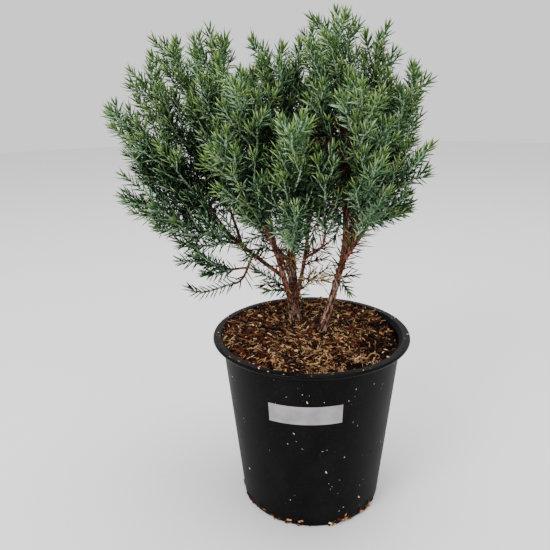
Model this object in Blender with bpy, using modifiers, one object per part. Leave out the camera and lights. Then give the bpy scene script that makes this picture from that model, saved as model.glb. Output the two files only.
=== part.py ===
"""A young blue balloon arborvitae in the black nursery pot that it is sold in.

Two stems stand in a pot of potting mix. Each carries tapering boughs, and every bough ends where
a plume of foliage grows on from it. The origin is the middle of the pot's flat underside, +Z is
up, and the plant's front is its -Y side.
"""

import math
import random

import bmesh
import bpy
from mathutils import Matrix, Quaternion, Vector
from mathutils.geometry import interpolate_bezier

MM = 0.001
GAP = 0.3 * MM
WELD = 0.0005 * MM

# The pot: a moulded tub with a flat lip and holes round the edge of its floor.
RIM_DIAMETER = 155 * MM
POT_HEIGHT = 142 * MM
FOOT_RADIUS = 57 * MM
NECK_RADIUS = 70.3 * MM
POT_WALL = 1.3 * MM
POT_FLOOR = 1.8 * MM
LIP_DROP = 2.8 * MM
LIP_WIDTH = 6.2 * MM
LIP_ROUNDING = 0.7 * MM
FOOT_ROUNDING = 2.8 * MM
POT_STEPS = 48
DRAIN_HOLES = 6
DRAIN_SIDES = 12
DRAIN_RADIUS = 4.5 * MM
DRAIN_CIRCLE = 44 * MM

# The potting mix: heaped behind, sunk at the right and a little at the left.
MIX_LEVEL = 137 * MM
MIX_RISE = 2.6 * MM
MIX_RINGS = 6
RIPPLE_HEIGHT = 0.9 * MM
RIPPLE_LENGTHS = (9 * MM, 11 * MM)
RIGHT_HOLLOW = (Vector((58, -16)) * MM, 17 * MM, 6 * MM)
LEFT_HOLLOW = (Vector((-66, -4)) * MM, 12 * MM, 4 * MM)
STEM_SEAT = 17 * MM

# The paper label: a blank strip round the front of the pot.
LABEL_WIDTH = 57 * MM
LABEL_HEIGHT = 15.2 * MM
LABEL_THICKNESS = 0.3 * MM
LABEL_MIDDLE = 105.5 * MM
LABEL_TURN = math.radians(-3.4)
LABEL_SLOPE = math.radians(1.2)
LABEL_STEPS = 14

# Each stem: its foot, the places that it passes on its way up, its thickness at foot and tip,
# and the reach and half width of the foliage that it ends in. All in millimetres.
STEMS = {
    "stem_left": {
        "path": ((-13, 33), (-15, 31, 152), (-15, 29, 176), (-16, 28, 205), (-13, 25, 242)),
        "radii": (4.9, 2.2),
        "foliage": ("foliage_middle", (-17, 34, 356), 23),
    },
    "stem_right": {
        "path": ((9, 11), (13, 10, 152), (20, 8, 180), (26, 5, 214), (24, 3, 268)),
        "radii": (3.4, 1.9),
        "foliage": ("foliage_right_tall", (15, -6, 376), 28),
    },
}
STEM_SIDES = 8
STEM_STRAIGHT = 0.6
FLARE = 1.25
FLARE_HEIGHT = 9 * MM

# Each bough: the limb that it leaves, how far up that limb, the place of its tip, its root's
# radius, and the reach and half width of the foliage that grows on from it. In millimetres.
BOUGHS = {
    "mid_left": ("stem_left", 0.09, (-35, -8, 230), 2.6, (-63, -46, 298), 21),
    "left": ("mid_left", 0.42, (-76, 6, 232), 1.9, (-126, -6, 289), 24),
    "low_left": ("left", 0.60, (-71, -4, 219), 1.3, (-130, -28, 256), 22),
    "sprig": ("left", 0.42, (-61, 4, 180), 1.3, (-101, -10, 180), 12),
    "hanging": ("sprig", 0.40, (-67, 0, 194), 0.95, (-98, -14, 211), 15),
    "far_left": ("left", 0.74, (-84, -4, 252), 1.3, (-143, -16, 318), 19),
    "left_top": ("left", 0.58, (-66, 14, 256), 1.4, (-68, 3, 366), 26),
    "left_outer": ("left_top", 0.62, (-82, 18, 268), 1.1, (-128, 12, 342), 22),
    "centre_left": ("mid_left", 0.64, (-36, -4, 258), 1.6, (-52, -30, 338), 22),
    "centre": ("stem_left", 0.08, (-2, 12, 234), 2.1, (-1, 6, 338), 21),
    "centre_top": ("stem_left", 0.84, (-26, 10, 272), 1.7, (-31, 0, 358), 22),
    "front": ("stem_left", 0.54, (-14, -21, 219), 1.7, (-11, -49, 310), 21),
    "front_right": ("centre", 0.58, (10, -18, 227), 1.3, (6, -42, 290), 18),
    "right_low": ("stem_right", 0.46, (43, 3, 227), 1.7, (81, -6, 286), 20),
    "right_front": ("stem_right", 0.40, (33, -18, 230), 1.6, (41, -38, 287), 19),
    "right_mid": ("stem_right", 0.68, (28, -16, 262), 1.5, (34, -38, 330), 20),
    "right_top": ("stem_right", 0.78, (40, 20, 280), 1.7, (48, 14, 367), 22),
    "far_right": ("stem_right", 0.52, (54, 21, 262), 1.8, (77, 24, 341), 21),
    "low_right": ("stem_right", 0.43, (46, 20, 224), 1.4, (80, 30, 243), 14),
    "back_low_left": ("stem_left", 0.34, (-34, 54, 206), 1.7, (-68, 88, 262), 23),
    "back_left": ("stem_left", 0.48, (-54, 42, 236), 1.9, (-113, 50, 362), 26),
    "back_middle": ("stem_left", 0.64, (-8, 54, 230), 1.8, (-6, 92, 304), 25),
    "back_high": ("stem_left", 0.93, (-40, 44, 272), 1.6, (-46, 54, 346), 22),
    "back_top": ("centre", 0.80, (6, 36, 276), 1.3, (2, 46, 366), 23),
    "back_low_right": ("stem_right", 0.34, (32, 46, 208), 1.7, (58, 84, 268), 22),
    "back_right": ("stem_right", 0.62, (46, 46, 248), 1.8, (70, 60, 330), 23),
}
BOUGH_SIDES = 6
BOUGH_POINTS = 6
BOUGH_TIP_SHARE = 0.62
THINNEST_TIP = 0.9 * MM
CURVE_REACH = 0.36
ROOT_SPREAD = 0.1

# Foliage: shoots that leave a leading shoot by the golden angle, with needles along them all.
# A side shoot's length is given in half widths of its plume, at the foot and at the tip.
GOLDEN_ANGLE = math.radians(137.508)
LEADER_RADIUS = 1.5 * MM
SHOOT_LENGTHS = (2.0, 0.76)
SHOOT_LEAN = math.radians(44)
SHOOT_LIFT = 0.30
SHOOT_SPACING = 9.5 * MM
SHOOT_FIRST = 6 * MM
SHOOT_SHORTEST = 12 * MM
SHOOT_RADIUS = 0.95 * MM
SHOOT_TIP_RADIUS = 0.4 * MM
NEEDLE_SPACING = 12 * MM
NEEDLE_SHARE = 0.85
NEEDLE_LENGTH = 12 * MM
SIDE_NEEDLE_LENGTH = 11 * MM
NEEDLE_LEAN = math.radians(38)
ANGLE_SPREAD = (0.8, 1.2)
LENGTH_SPREAD = (0.82, 1.1)
TIP_BRUSH = 8.4 * MM
PLUME_REACH = 1.5
SPACE_MARGIN = 1.4 * MM
LIMB_MARGIN = 1.2 * MM


def clear_scene():
    for item in list(bpy.data.objects):
        bpy.data.objects.remove(item, do_unlink=True)


def collection(name):
    made = bpy.data.collections.new(name)
    bpy.context.scene.collection.children.link(made)
    return made


def material(name, colour, roughness):
    made = bpy.data.materials.new(name)
    made.use_nodes = True
    shader = made.node_tree.nodes["Principled BSDF"]
    shader.inputs["Base Color"].default_value = (*colour, 1.0)
    shader.inputs["Roughness"].default_value = roughness
    shader.inputs["Metallic"].default_value = 0.0
    return made


def add_object(name, mesh, finish, where):
    made = bpy.data.objects.new(name, mesh)
    if finish and not mesh.materials:
        mesh.materials.append(finish)
    where.objects.link(made)
    return made


def mesh_from(name, bm):
    mesh = bpy.data.meshes.new(name)
    bm.to_mesh(mesh)
    bm.free()
    return mesh


def as_mesh(item, where):
    """The item as it is evaluated, as a plain welded mesh object that takes its place."""
    evaluated = item.evaluated_get(bpy.context.evaluated_depsgraph_get())
    mesh = bpy.data.meshes.new_from_object(evaluated)
    bm = bmesh.new()
    bm.from_mesh(mesh)
    bmesh.ops.remove_doubles(bm, verts=bm.verts, dist=WELD)
    bm.to_mesh(mesh)
    bm.free()
    name, place = item.name, item.matrix_world.copy()
    bpy.data.objects.remove(item, do_unlink=True)
    made = add_object(name, mesh, None, where)
    made.matrix_world = place
    return made


def boolean(item, operation, other):
    change = item.modifiers.new(operation.lower(), "BOOLEAN")
    change.operation = operation
    if isinstance(other, bpy.types.Collection):
        change.operand_type = "COLLECTION"
        change.collection = other
        change.solver = "MANIFOLD"
    else:
        change.object = other
        other.hide_render = True
        other.display_type = "WIRE"
    return change


# The pot and what it holds

def pot_inner_radius(height):
    share = (height - POT_FLOOR) / (POT_HEIGHT - LIP_DROP - POT_FLOOR)
    return FOOT_RADIUS - POT_WALL + (NECK_RADIUS - FOOT_RADIUS) * share


def make_pot(finish, parts, cutters):
    rim = RIM_DIAMETER / 2
    neck = POT_HEIGHT - LIP_DROP
    mouth = rim - LIP_WIDTH
    profile = (
        (0, POT_FLOOR),
        (FOOT_RADIUS - POT_WALL, POT_FLOOR),
        (pot_inner_radius(neck), neck),
        (mouth - LIP_ROUNDING / 2, POT_HEIGHT - LIP_ROUNDING),
        (mouth + LIP_ROUNDING, POT_HEIGHT),
        (rim - LIP_ROUNDING, POT_HEIGHT),
        (rim, POT_HEIGHT - LIP_ROUNDING),
        (rim, neck),
        (NECK_RADIUS + POT_WALL / 2, neck),
        (NECK_RADIUS, neck - POT_WALL),
        (FOOT_RADIUS, FOOT_ROUNDING),
        (FOOT_RADIUS - FOOT_ROUNDING / 3, FOOT_ROUNDING / 3),
        (FOOT_RADIUS - FOOT_ROUNDING, 0),
        (0, 0),
    )
    bm = bmesh.new()
    points = [bm.verts.new((x, 0, z)) for x, z in profile]
    for one, two in zip(points, points[1:]):
        bm.edges.new((one, two))
    pot = add_object("pot", mesh_from("pot", bm), finish, parts)
    turn = pot.modifiers.new("turn", "SCREW")
    turn.steps = turn.render_steps = POT_STEPS
    turn.use_merge_vertices = True
    turn.merge_threshold = WELD
    bm = bmesh.new()
    for number in range(DRAIN_HOLES):
        angle = math.tau * number / DRAIN_HOLES
        place = Matrix.Rotation(angle, 4, "Z") @ Matrix.Translation((DRAIN_CIRCLE, 0, 0))
        bmesh.ops.create_cone(bm, cap_ends=True, segments=DRAIN_SIDES, radius1=DRAIN_RADIUS,
                              radius2=DRAIN_RADIUS, depth=4 * POT_FLOOR, matrix=place)
    drains = add_object("pot drains", mesh_from("pot drains", bm), None, cutters)
    boolean(pot, "DIFFERENCE", drains)
    return pot


def mix_height(x, y):
    """How high the potting mix stands at x, y: it is flat where a stem comes out of it."""
    here = Vector((x, y))
    height = MIX_LEVEL + MIX_RISE * y / NECK_RADIUS
    height += RIPPLE_HEIGHT * math.sin(x / RIPPLE_LENGTHS[0]) * math.cos(y / RIPPLE_LENGTHS[1])
    for middle, spread, depth in (RIGHT_HOLLOW, LEFT_HOLLOW):
        height -= depth * math.exp(-((here - middle).length / spread) ** 2 / 2)
    for stem in STEMS.values():
        away = (here - Vector(stem["path"][0]) * MM).length
        share = min(1, max(0, (away - STEM_SEAT) / STEM_SEAT))
        height = MIX_LEVEL + (height - MIX_LEVEL) * share
    return height


def make_mix(finish, parts):
    bottom = POT_FLOOR + GAP
    bm = bmesh.new()
    bmesh.ops.create_cone(bm, cap_ends=True, segments=POT_STEPS,
                          radius1=pot_inner_radius(bottom) - GAP,
                          radius2=pot_inner_radius(MIX_LEVEL) - GAP, depth=MIX_LEVEL - bottom,
                          matrix=Matrix.Translation((0, 0, (MIX_LEVEL + bottom) / 2)))
    top = max(bm.faces, key=lambda face: face.calc_center_median().z)
    step = pot_inner_radius(MIX_LEVEL) / (MIX_RINGS + 0.5)
    for _ in range(MIX_RINGS):
        bmesh.ops.inset_individual(bm, faces=[top], thickness=step)
    bmesh.ops.poke(bm, faces=[top])
    for vert in bm.verts:
        if vert.co.z > MIX_LEVEL - MM:
            height = mix_height(vert.co.x, vert.co.y)
            reach = pot_inner_radius(height) - GAP
            if vert.co.xy.length > reach - step / 2:
                vert.co.xy *= reach / vert.co.xy.length
            vert.co.z = height
    return add_object("potting_mix", mesh_from("potting_mix", bm), finish, parts)


def make_label(finish, parts):
    bm = bmesh.new()
    bmesh.ops.create_grid(bm, x_segments=LABEL_STEPS, y_segments=1, size=0.5)
    slope = (NECK_RADIUS - FOOT_RADIUS) / (POT_HEIGHT - LIP_DROP - POT_WALL - FOOT_ROUNDING)
    for vert in bm.verts:
        along, up = vert.co.x * LABEL_WIDTH, vert.co.y * LABEL_HEIGHT
        height = LABEL_MIDDLE + up + along * math.tan(LABEL_SLOPE)
        radius = FOOT_RADIUS + slope * (height - FOOT_ROUNDING) + GAP
        angle = LABEL_TURN + along / radius
        vert.co = (radius * math.sin(angle), -radius * math.cos(angle), height)
    label = add_object("label", mesh_from("label", bm), finish, parts)
    paper = label.modifiers.new("paper", "SOLIDIFY")
    paper.thickness = LABEL_THICKNESS
    paper.offset = 1
    return label


# Stems and boughs

def curve_through(start, start_way, end, end_way, points):
    """Points of a smooth curve that leaves start along one way and arrives along the other."""
    reach = (end - start).length * CURVE_REACH
    return interpolate_bezier(start, start + start_way * reach, end - end_way * reach, end, points)


def point_along(path, share):
    """The point that lies a share of the way along a path, and the way the path runs there."""
    lengths = [(two - one).length for one, two in zip(path, path[1:])]
    left = share * sum(lengths)
    for number, length in enumerate(lengths):
        if left <= length or number == len(lengths) - 1:
            way = (path[number + 1] - path[number]).normalized()
            return path[number] + way * left, way
        left -= length
    return path[-1], way


def limb_object(name, path, radii, sides, where):
    """A curve of round section through the path, thick at its root and thin at its tip."""
    line = bpy.data.curves.new(name, "CURVE")
    line.dimensions = "3D"
    line.bevel_depth = MM
    line.bevel_resolution = sides // 2 - 2
    line.use_fill_caps = True
    spline = line.splines.new("POLY")
    spline.points.add(len(path) - 1)
    for knot, point, radius in zip(spline.points, path, radii):
        knot.co = (*point, 1)
        knot.radius = radius / MM
    made = bpy.data.objects.new(name, line)
    where.objects.link(made)
    bpy.context.view_layer.update()
    return as_mesh(made, where)


def lay_out_limbs():
    """The path and the radii of every stem and bough, and the plume that each one ends in."""
    limbs = {}
    for name, stem in STEMS.items():
        foot = Vector((*stem["path"][0], 0)) * MM
        foot.z = MIX_LEVEL + GAP
        knots = [Vector(knot) * MM for knot in stem["path"][1:]]
        plume, reach, half_width = stem["foliage"]
        reach = Vector(reach) * MM
        path = [foot, foot + Vector((0, 0, FLARE_HEIGHT / 3))]
        path.append(foot + (knots[0] - foot) * STEM_STRAIGHT)
        path += knots[:-1]
        way = (knots[-1] - knots[-2]).normalized()
        path.append(knots[-1] - way * (knots[-1] - knots[-2]).length / 3)
        path.append(knots[-1])
        thick, thin = (radius * MM for radius in stem["radii"])
        rise = path[-1].z - foot.z
        radii = []
        for point in path:
            share = (point.z - foot.z) / rise
            flare = 1 + (FLARE - 1) * math.exp(-(point.z - foot.z) / (FLARE_HEIGHT / 2))
            radii.append((thick + (thin - thick) * share) * flare)
        limbs[name] = {"path": path, "radii": radii, "parent": None, "plume": plume,
                       "reach": reach, "half_width": half_width * MM}
    for name, (parent, share, tip, root, reach, half_width) in BOUGHS.items():
        carrier = limbs[parent if parent in limbs else "bough_" + parent]
        tip, reach = Vector(tip) * MM, Vector(reach) * MM
        start, along = point_along(carrier["path"], share)
        start_way = ((tip - start).normalized() - ROOT_SPREAD * along).normalized()
        path = curve_through(start, start_way, tip, (reach - tip).normalized(), BOUGH_POINTS)
        thin = max(root * BOUGH_TIP_SHARE * MM, THINNEST_TIP)
        radii = [root * MM + (thin - root * MM) * number / (BOUGH_POINTS - 1)
                 for number in range(BOUGH_POINTS)]
        limbs["bough_" + name] = {"path": path, "radii": radii, "parent": carrier,
                                  "plume": "foliage_" + name, "reach": reach,
                                  "half_width": half_width * MM}
    return limbs


def make_limbs(limbs, finish, parts, cutters):
    """Every stem and bough, each bough's root cut clear of the limb that it leaves."""
    for name, limb in limbs.items():
        sides = BOUGH_SIDES if limb["parent"] else STEM_SIDES
        item = limb_object(name, limb["path"], limb["radii"], sides, parts)
        item.data.materials.append(finish)
        limb["object"] = item
        if limb["parent"]:
            carrier = limb["parent"]
            if "cutter" not in carrier:
                wider = [radius + GAP for radius in carrier["radii"]]
                sides = BOUGH_SIDES if carrier["parent"] else STEM_SIDES
                carrier["cutter"] = limb_object(carrier["object"].name + " clearance",
                                                carrier["path"], wider, sides, cutters)
            boolean(item, "DIFFERENCE", carrier["cutter"])


# Foliage

def distance_to(point, start, end):
    line = end - start
    share = min(1, max(0, (point - start).dot(line) / line.length_squared))
    return (point - start - line * share).length


def distance_to_limb(point, limb):
    """How far the point is outside a limb's bark."""
    path, radii = limb["path"], limb["radii"]
    return min(distance_to(point, path[i], path[i + 1]) - max(radii[i], radii[i + 1])
               for i in range(len(path) - 1))


class Space:
    """The room of one plume: nearer to its own leader than to any other, and hardly higher."""

    def __init__(self, limb, limbs):
        self.own = limb
        self.limbs = list(limbs.values())
        self.others = [other for other in self.limbs if other is not limb]
        self.top = max(limb["path"][-1].z, limb["reach"].z) + TIP_BRUSH / 2

    def nearness(self, point, limb):
        return distance_to(point, limb["path"][-1], limb["reach"]) / limb["half_width"]

    def holds(self, point, margin):
        mine = self.nearness(point, self.own)
        if mine > PLUME_REACH + NEEDLE_LENGTH / 2 / self.own["half_width"]:
            return False
        if point.z > self.top:
            return False
        for other in self.others:
            near = min(self.own["half_width"], other["half_width"])
            if mine + (SPACE_MARGIN + margin) / near > self.nearness(point, other):
                return False
        return all(distance_to_limb(point, limb) > LIMB_MARGIN + margin for limb in self.limbs)


def bristled_shoot(path, radii, needle_length, free, draw):
    """A three-sided twig along the path, with a needle drawn out of every free side."""
    bm = bmesh.new()
    turns = [(two - one).to_track_quat("Z", "X") for one, two in zip(path, path[1:])]
    turns.append(turns[-1])
    for number in range(1, len(turns)):
        swing = (turns[number - 1] @ Vector((0, 0, 1))).rotation_difference(
            turns[number] @ Vector((0, 0, 1)))
        turns[number] = swing @ turns[number - 1]
    stations = [Matrix.LocRotScale(point, turn, Vector((radius, radius, radius)))
                for point, turn, radius in zip(path, turns, radii)]
    bmesh.ops.create_circle(bm, cap_ends=True, segments=3, radius=1, matrix=stations[0])
    bm.faces.ensure_lookup_table()
    end = bm.faces[0]
    sides = []
    for before, after in zip(stations, stations[1:]):
        end = bmesh.ops.extrude_discrete_faces(bm, faces=[end])["faces"][0]
        bmesh.ops.transform(bm, matrix=after @ before.inverted(), verts=end.verts)
        way = (after.translation - before.translation).normalized()
        sides += [(face, way) for edge in end.edges for face in edge.link_faces if face is not end]
    bmesh.ops.holes_fill(bm, edges=[edge for edge in bm.edges if edge.is_boundary])
    bmesh.ops.recalc_face_normals(bm, faces=bm.faces)
    for face, way in sides:
        lean = NEEDLE_LEAN * draw.uniform(*ANGLE_SPREAD)
        length = needle_length * draw.uniform(*LENGTH_SPREAD)
        point = face.calc_center_median()
        point += length * (math.cos(lean) * way + math.sin(lean) * face.normal)
        if draw.random() < NEEDLE_SHARE and free(point):
            bmesh.ops.poke(bm, faces=[face])["verts"][0].co = point
    return bm


def spaced(length):
    return max(2, round(length / NEEDLE_SPACING) + 1)


def make_plume(limb, limbs, finish, parts, seed):
    """A leading shoot from the limb's tip to the plume's reach, and the shoots that leave it."""
    draw = random.Random(seed)
    space = Space(limb, limbs)
    way = (limb["path"][-1] - limb["path"][-2]).normalized()
    reach = limb["reach"]
    foot = limb["path"][-1] + way * GAP
    line = reach - foot
    end = reach - line.normalized() * TIP_BRUSH
    leader = curve_through(foot, way, end, line.normalized(), spaced((end - foot).length))
    foot_radius = min(limb["radii"][-1], LEADER_RADIUS)
    radii = [foot_radius + (SHOOT_TIP_RADIUS - foot_radius) * i / (len(leader) - 1)
             for i in range(len(leader))]
    stem = add_object(limb["plume"], mesh_from("leader", bristled_shoot(
        leader, radii, NEEDLE_LENGTH, lambda point: space.holds(point, 0), draw)), finish, parts)
    shoots = collection(limb["plume"] + " shoots")
    length = (end - foot).length
    around = draw.uniform(0, math.tau)
    along = SHOOT_FIRST
    while along < length - SHOOT_SHORTEST / 2:
        around += GOLDEN_ANGLE
        share = along / length
        root, run = point_along(leader, share)
        out = Quaternion(run, around) @ run.orthogonal().normalized()
        lean = SHOOT_LEAN * draw.uniform(*ANGLE_SPREAD)
        go = (math.cos(lean) * run + math.sin(lean) * out).normalized()
        full = SHOOT_LENGTHS[0] + (SHOOT_LENGTHS[1] - SHOOT_LENGTHS[0]) * share
        full *= limb["half_width"] * draw.uniform(*LENGTH_SPREAD)
        turned = (go + SHOOT_LIFT * Vector((0, 0, 1))).normalized()
        while full >= SHOOT_SHORTEST:
            tip = root + (go + turned).normalized() * full
            path = curve_through(root, go, tip, turned, spaced(full) + 1)
            if all(space.holds(point, SHOOT_RADIUS) for point in path[1:]):
                break
            full -= NEEDLE_SPACING / 2
        if full >= SHOOT_SHORTEST:
            taper = [SHOOT_RADIUS + (SHOOT_TIP_RADIUS - SHOOT_RADIUS) * i / (len(path) - 1)
                     for i in range(len(path))]
            taper[0] = SHOOT_TIP_RADIUS
            twig = bristled_shoot(path, taper, SIDE_NEEDLE_LENGTH,
                                  lambda point: space.holds(point, 0), draw)
            add_object("shoot", mesh_from("shoot", twig), finish, shoots)
        along += SHOOT_SPACING * draw.uniform(*ANGLE_SPREAD)
    if len(shoots.objects):
        boolean(stem, "UNION", shoots)
        bpy.context.view_layer.update()
        stem = as_mesh(stem, parts)
    for shoot in list(shoots.objects):
        bpy.data.objects.remove(shoot, do_unlink=True)
    bpy.data.collections.remove(shoots)
    stem.name = limb["plume"]
    return stem


def main():
    clear_scene()
    parts = collection("potted arborvitae")
    cutters = collection("cutters")
    plastic = material("black polypropylene", (0.012, 0.012, 0.014), 0.42)
    mix = material("bark and coir mix", (0.19, 0.085, 0.035), 0.95)
    paper = material("label paper", (0.78, 0.78, 0.80), 0.75)
    bark = material("red-brown bark", (0.16, 0.062, 0.034), 0.85)
    needles = material("blue-green needles", (0.075, 0.19, 0.13), 0.6)
    make_pot(plastic, parts, cutters)
    make_mix(mix, parts)
    make_label(paper, parts)
    limbs = lay_out_limbs()
    make_limbs(limbs, bark, parts, cutters)
    for seed, limb in enumerate(limbs.values()):
        make_plume(limb, limbs, needles, parts, seed)
    for item in parts.objects:
        if not item.name.startswith("foliage"):
            item.data.shade_smooth()
            item.data.set_sharp_from_angle(angle=math.radians(40))


main()
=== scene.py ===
"""A young blue balloon arborvitae in its black nursery pot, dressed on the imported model.

The sections follow the plant as it is potted: the studio, the pot, the potting mix, the paper
label, the stems and boughs, what clings to them, and the foliage. Lengths are in metres.
"""

import math
import random

import bmesh
import bpy
import numpy as np
from mathutils import Matrix, Quaternion, Vector, kdtree, noise
from mathutils.geometry import interpolate_bezier


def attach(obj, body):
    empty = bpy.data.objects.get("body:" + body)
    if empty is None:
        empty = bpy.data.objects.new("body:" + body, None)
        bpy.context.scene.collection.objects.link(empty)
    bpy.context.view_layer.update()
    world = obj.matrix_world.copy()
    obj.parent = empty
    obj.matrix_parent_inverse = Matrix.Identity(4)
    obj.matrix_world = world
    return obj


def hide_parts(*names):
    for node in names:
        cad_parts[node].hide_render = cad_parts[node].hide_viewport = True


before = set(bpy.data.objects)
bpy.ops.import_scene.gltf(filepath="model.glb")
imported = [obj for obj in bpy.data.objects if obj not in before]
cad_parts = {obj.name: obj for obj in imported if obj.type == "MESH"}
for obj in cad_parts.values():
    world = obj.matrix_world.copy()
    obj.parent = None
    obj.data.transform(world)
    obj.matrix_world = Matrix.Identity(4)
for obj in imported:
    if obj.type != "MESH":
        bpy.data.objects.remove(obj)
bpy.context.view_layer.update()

# The studio. The pot stands on one sheet of pale matt card, as wide as any view needs.
# The camera stands where the photograph was taken from, as high as the upper crown, looking down.
MM = 0.001
CAMERA_PLACE = Vector((0, -428.92, 331.54)) * MM
CAMERA_DIP = math.radians(18.39)
CAMERA_HEADING = math.radians(3.71)
CAMERA_ROLL = math.radians(-0.99)
SENSOR = 36
FOCAL_PIXELS, IMAGE_PIXELS = 585, 550
CARD_REACH = 3.0
LIGHTS = {
    "window": ((-0.9, -1.1, 1.3), 0.8, 22),
    "reflector": ((1.2, -0.7, 0.75), 1.2, 3),
    "ceiling": ((0.1, 0.2, 1.7), 1.0, 20),
}
LIGHT_AIM = Vector((0, 0, 0.2))
ROOM_COLOUR = "#E6E6E8"
ROOM_STRENGTH = 1.4


def linear(code, alpha=1.0):
    """The linear colour of an sRGB hex code."""
    parts = [int(code[i:i + 2], 16) / 255 for i in (1, 3, 5)]
    return (*[c / 12.92 if c <= 0.04045 else ((c + 0.055) / 1.055) ** 2.4 for c in parts], alpha)


def add_node(material, kind, settings=None, links=None):
    """A node with its settings and the links into its inputs, each by name or by number."""
    node = material.node_tree.nodes.new(kind)
    for name, value in (settings or {}).items():
        if name == "stops":
            ramp = node.color_ramp
            while len(ramp.elements) < len(value):
                ramp.elements.new(0.5)
            for element, (place, code) in zip(ramp.elements, value):
                element.position, element.color = place, linear(code)
        elif isinstance(name, int) or name in node.inputs:
            node.inputs[name].default_value = value
        else:
            setattr(node, name, value)
    for name, source in (links or {}).items():
        material.node_tree.links.new(source, node.inputs[name])
    return node


def new_material(name, code, roughness, **settings):
    """A material whose own shader has that colour, roughness and other settings."""
    made = bpy.data.materials.new(name)
    made.use_nodes = True
    shader = made.node_tree.nodes["Principled BSDF"]
    shader.inputs["Base Color"].default_value = linear(code)
    shader.inputs["Roughness"].default_value = roughness
    for setting, value in settings.items():
        shader.inputs[setting.replace("_", " ")].default_value = value
    return made, shader


def link(material, source, shader, name):
    material.node_tree.links.new(source, shader.inputs[name])


def new_piece(name, mesh, *materials):
    """An object of that mesh in the scene, at the origin."""
    made = bpy.data.objects.new(name, mesh)
    bpy.context.scene.collection.objects.link(made)
    for material in materials:
        mesh.materials.append(material)
    return made


def put_in_order(bm):
    """Sort a bmesh by place, because bevels and the like give a new order on each run."""
    sorts = ((bm.verts, lambda vert: vert.co[:]),
             (bm.edges, lambda edge: (edge.verts[0].co + edge.verts[1].co)[:]),
             (bm.faces, lambda face: face.calc_center_median()[:]))
    for items, place in sorts:
        for number, item in enumerate(sorted(items, key=place)):
            item.index = number
        items.sort()
        items.index_update()


def mesh_of(name, bm):
    put_in_order(bm)
    mesh = bpy.data.meshes.new(name)
    bm.to_mesh(mesh)
    bm.free()
    return mesh


camera = bpy.data.objects.new("camera", bpy.data.cameras.new("camera"))
bpy.context.scene.collection.objects.link(camera)
camera.data.sensor_width = SENSOR
camera.data.lens = FOCAL_PIXELS / IMAGE_PIXELS * SENSOR
camera.data.clip_start = 0.01
camera.matrix_world = (Matrix.Translation(CAMERA_PLACE) @ Matrix.Rotation(CAMERA_HEADING, 4, "Z")
                       @ Matrix.Rotation(math.pi / 2 - CAMERA_DIP, 4, "X")
                       @ Matrix.Rotation(CAMERA_ROLL, 4, "Z"))
bpy.context.scene.camera = camera

card = new_material("matt card", "#ECEBEA", 0.9)[0]
bm = bmesh.new()
bmesh.ops.create_circle(bm, cap_ends=True, segments=96, radius=CARD_REACH)
floor = new_piece("floor", mesh_of("floor", bm), card)

for name, (place, size, power) in LIGHTS.items():
    lamp = bpy.data.lights.new(name, "AREA")
    lamp.shape = "DISK"
    lamp.size = size
    lamp.energy = power
    light = bpy.data.objects.new(name, lamp)
    bpy.context.scene.collection.objects.link(light)
    light.location = place
    light.rotation_euler = (LIGHT_AIM - Vector(place)).to_track_quat("-Z", "Y").to_euler()
room = bpy.data.worlds.new("room")
bpy.context.scene.world = room
room.use_nodes = True
room.node_tree.nodes["Background"].inputs["Color"].default_value = linear(ROOM_COLOUR)
room.node_tree.nodes["Background"].inputs["Strength"].default_value = ROOM_STRENGTH

# The pot. A nursery tub, injection moulded in black polypropylene: a plain tapering wall, a flat
# lip with a rolled edge, a rounded foot that stands on a ring, and six drain holes in its floor.
RIM_RADIUS = 77.5 * MM
POT_HEIGHT = 142 * MM
FOOT_RADIUS = 57 * MM
NECK_RADIUS = 70.3 * MM
POT_WALL = 1.3 * MM
POT_FLOOR = 1.8 * MM
LIP_DROP = 2.8 * MM
WALL_TOP = POT_HEIGHT - LIP_DROP - POT_WALL
LIP_WIDTH = 6.2 * MM
LIP_DISH = 0.25 * MM
FOOT_ROUNDING = 2.8 * MM
RING_WIDTH = 4.5 * MM
RING_HEIGHT = 0.9 * MM
POT_STEPS = 160
DRAIN_HOLES = 6
DRAIN_STEPS = 32
DRAIN_RADIUS = 4.5 * MM
DRAIN_CIRCLE = 44 * MM


def arc(middle, radius, start, end, steps=6):
    """Points of an arc in a profile, between two angles in degrees."""
    angles = [math.radians(start + (end - start) * i / steps) for i in range(steps + 1)]
    return [(middle[0] + radius * math.cos(a), middle[1] + radius * math.sin(a)) for a in angles]


def turned(profile, steps):
    """A bmesh of the profile spun once round the Z axis, closed where it meets the axis."""
    bm = bmesh.new()
    points = [bm.verts.new((x, 0, z)) for x, z in profile]
    edges = [bm.edges.new(pair) for pair in zip(points, points[1:])]
    bmesh.ops.spin(bm, geom=points + edges, axis=(0, 0, 1), cent=(0, 0, 0), angle=math.tau,
                   steps=steps, use_merge=True)
    bmesh.ops.remove_doubles(bm, verts=bm.verts, dist=0.001 * MM)
    bmesh.ops.recalc_face_normals(bm, faces=bm.faces)
    return bm


def evaluated(item):
    """The mesh of an item with its modifiers, as a mesh of its own."""
    bpy.context.view_layer.update()
    return bpy.data.meshes.new_from_object(
        item.evaluated_get(bpy.context.evaluated_depsgraph_get()))


def smooth(mesh, angle=40):
    mesh.shade_smooth()
    mesh.set_sharp_from_angle(angle=math.radians(angle))


def pot_inner_radius(height):
    share = (height - POT_FLOOR) / (POT_HEIGHT - LIP_DROP - POT_FLOOR)
    return FOOT_RADIUS - POT_WALL + (NECK_RADIUS - FOOT_RADIUS) * share


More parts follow.
